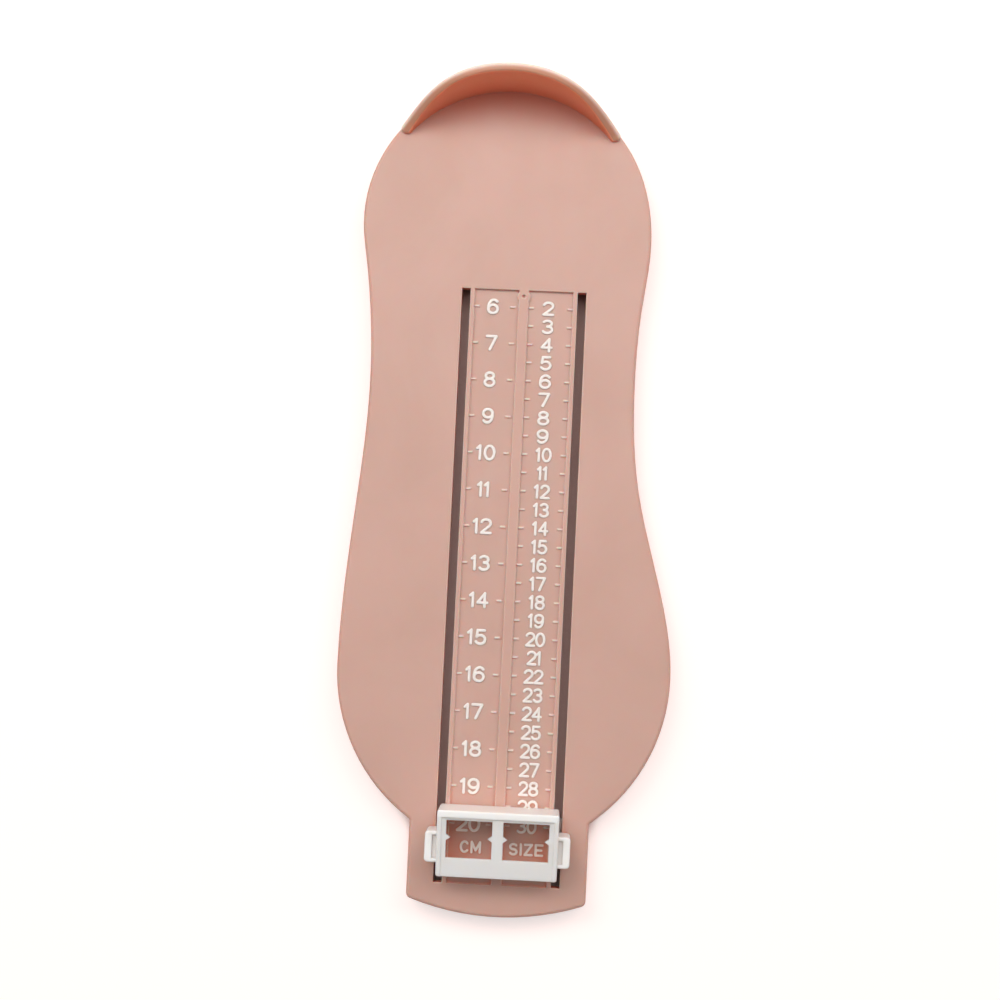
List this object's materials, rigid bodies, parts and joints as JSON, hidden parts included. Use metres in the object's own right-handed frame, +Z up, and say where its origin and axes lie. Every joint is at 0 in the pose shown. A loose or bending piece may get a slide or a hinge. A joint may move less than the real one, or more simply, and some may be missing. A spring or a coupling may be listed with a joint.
{
  "type": "foot measuring gauge",
  "caption": "Foot-shaped board with a raised heel cup and a ruled panel between guide slots, where a toe-stop slider with reading windows slides along the scale.",
  "frame": {"origin": "centre of the object's bounding box, on the plane that the board's rim rests on", "axes": "+Z up, +Y along the board towards the heel cup, +X across the board to the right when the heel cup is at the far end"},
  "size_m": [0.09, 0.2266, 0.025],
  "materials": {
    "board_plastic": "satin moulded plastic, dusty pink",
    "slider_plastic": "semi-gloss moulded plastic, white"
  },
  "bodies": {
    "board": {"base_board": "board_plastic"},
    "slider": {"slider_frame": "slider_plastic", "slider_keeper": "slider_plastic"}
  },
  "joints": [
    {"name": "slider_travel", "type": "slide", "parent": "board", "child": "slider", "axis": [0, 1, 0], "range_m": [-0.0032, 0.1396]}
  ]
}
